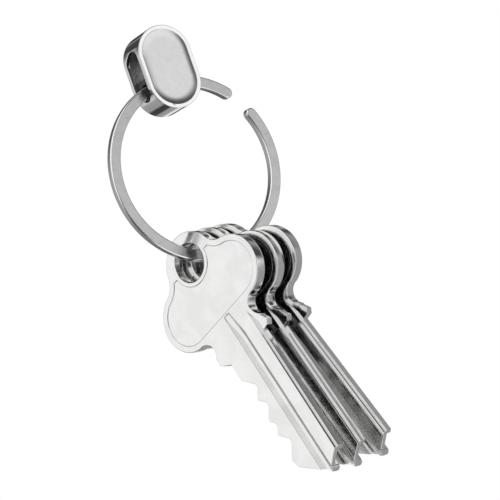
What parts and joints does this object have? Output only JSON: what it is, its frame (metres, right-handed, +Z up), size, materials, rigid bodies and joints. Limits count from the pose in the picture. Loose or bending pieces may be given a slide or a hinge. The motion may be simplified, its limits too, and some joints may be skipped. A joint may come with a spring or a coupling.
{
  "type": "key ring",
  "caption": "Flat open-band key ring closed by a sliding capsule lock, with cylinder keys hanging on it.",
  "frame": {"origin": "The middle of the strap window in the capsule, which is where the ring hangs.", "axes": "+Z is up, against gravity, with the keys hanging plumb below. +X runs along the band where it passes through the capsule, which is also the way through the strap window. -Y is the front. The band and the capsule lean 26 degrees about X, the capsule towards the front."},
  "size_m": [0.036, 0.0353, 0.0915],
  "materials": {
    "satin_steel": "satin ground stainless steel with polished edges",
    "polished_steel": "mirror polished stainless steel",
    "plate_steel": "fine bead-blasted stainless steel",
    "guide_plastic": "black acetal",
    "spring_steel": "bright spring steel",
    "key_nickel": "nickel plate, lightly handled"
  },
  "bodies": {
    "capsule": {"housing": "polished_steel", "front_plate": "plate_steel", "back_plate": "plate_steel", "band_guide": "guide_plastic", "brake_spring": "spring_steel"},
    "ring": {"ring_band": "satin_steel"},
    "front_key": {"key_front": "key_nickel"},
    "middle_key": {"key_middle": "key_nickel"},
    "rear_key": {"key_rear": "key_nickel"}
  },
  "joints": [
    {"name": "ring_turn", "type": "hinge", "parent": "capsule", "child": "ring", "pos_m": [0, 0.00949, -0.01946], "axis": [0, 0.8988, 0.4384], "range_deg": [-54.5, 80]},
    {"name": "front_key_swing", "type": "hinge", "parent": "capsule", "child": "front_key", "pos_m": [-0.00742, 0.01616, -0.03313], "axis": [0.9271, 0.3746, -0.0087], "range_deg": [-60, 60]},
    {"name": "middle_key_swing", "type": "hinge", "parent": "capsule", "child": "middle_key", "pos_m": [-0.00438, 0.01666, -0.03415], "axis": [0.9132, 0.4066, 0.0262], "range_deg": [-60, 60]},
    {"name": "rear_key_swing", "type": "hinge", "parent": "capsule", "child": "rear_key", "pos_m": [-0.00118, 0.01689, -0.03463], "axis": [0.9113, 0.4057, 0.0698], "range_deg": [-60, 60]}
  ]
}
